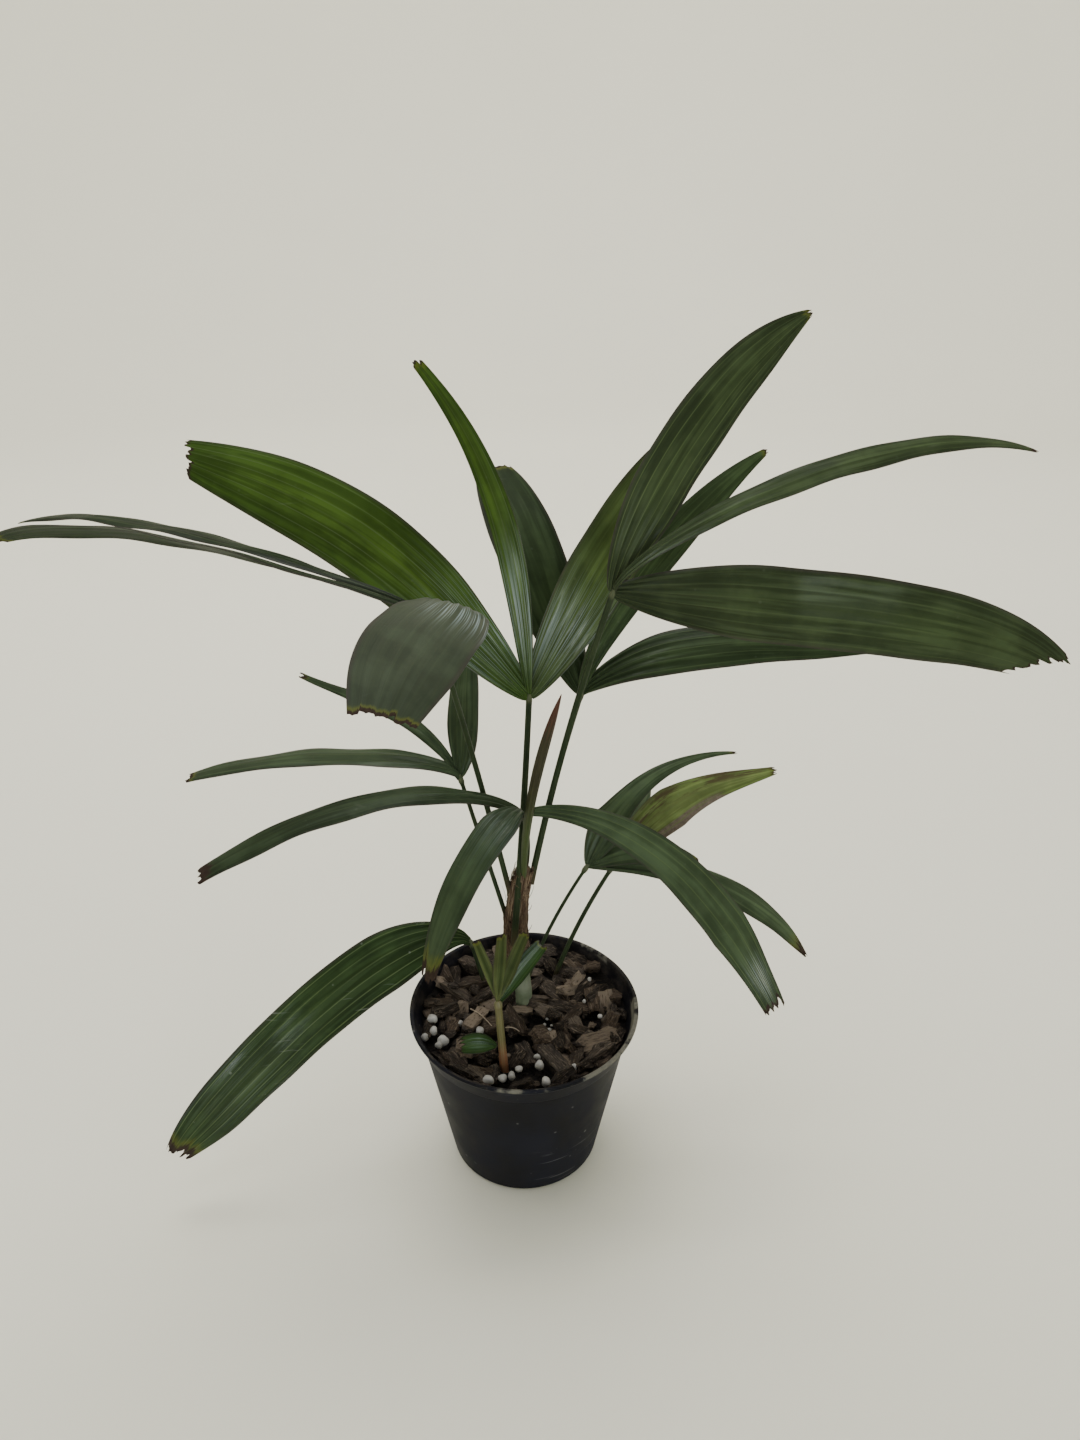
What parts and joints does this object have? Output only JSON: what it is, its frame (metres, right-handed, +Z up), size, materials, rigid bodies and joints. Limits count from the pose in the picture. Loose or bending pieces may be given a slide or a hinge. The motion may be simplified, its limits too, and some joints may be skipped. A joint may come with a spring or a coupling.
{
  "type": "lady palm in a nursery pot",
  "caption": "Young potted lady palm: slim fibrous trunk and basal shoot, palmate fronds of pleated leaflets on thin stalks, in a round tapered plastic nursery pot filled with bark mix.",
  "frame": {"origin": "centre of the pot's flat underside", "axes": "+Z up out of the pot, +X to the plant's right seen from its front, +Y away from its front"},
  "size_m": [0.3997, 0.261, 0.3788],
  "materials": {
    "leaf": "satin, pleated lengthwise",
    "spear": "satin",
    "stalk": "smooth satin",
    "trunk": "dry fibrous sheaths",
    "pot": "moulded, scuffed",
    "mix": "coarse bark chips"
  },
  "bodies": {
    "root": {"pot": "pot", "potting_mix": "mix", "trunk": "trunk", "spear_leaf": "spear", "shoot_stem": "stalk", "shoot_frond": "leaf", "shoot_stub_leaf": "leaf", "stalk_top": "stalk", "frond_top": "leaf", "stalk_right": "stalk", "frond_right": "leaf", "stalk_rear": "stalk", "frond_rear": "leaf", "stalk_left": "stalk", "frond_left": "leaf", "stalk_near": "stalk", "frond_near": "leaf", "stalk_front": "stalk", "frond_front": "leaf", "stalk_low_right": "stalk", "frond_low_right": "leaf", "stalk_yellowing": "stalk", "frond_yellowing": "leaf", "stalk_over_rim": "stalk", "frond_over_rim": "leaf"}
  },
  "joints": []
}
